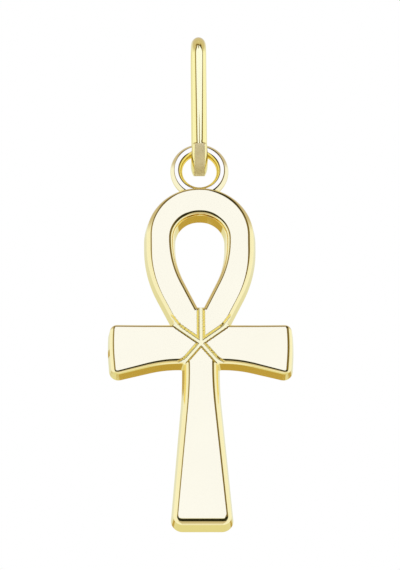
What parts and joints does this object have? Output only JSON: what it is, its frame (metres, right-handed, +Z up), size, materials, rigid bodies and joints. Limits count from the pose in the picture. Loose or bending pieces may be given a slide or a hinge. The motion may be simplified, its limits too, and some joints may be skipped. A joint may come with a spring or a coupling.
{
  "type": "ankh pendant",
  "caption": "Gold pendant: a bevelled ankh cross with a tear-shaped loop and a soldered ring, hanging free from a tall closed wire bail.",
  "frame": {"origin": "inside top of the bail, where a chain lies", "axes": "+Z up along the hanging pendant, -Y out of its face, +X to the right as seen from the front"},
  "size_m": [0.0124, 0.0036, 0.0349],
  "materials": {
    "gold": "mirror-polished yellow gold"
  },
  "bodies": {
    "bail": {"bail": "gold"},
    "pendant": {"ankh": "gold"}
  },
  "joints": [
    {"name": "swing", "type": "hinge", "parent": "bail", "child": "pendant", "pos_m": [0, 0, -0.00701], "axis": [1, 0, 0], "range_deg": [-125, 125]}
  ]
}
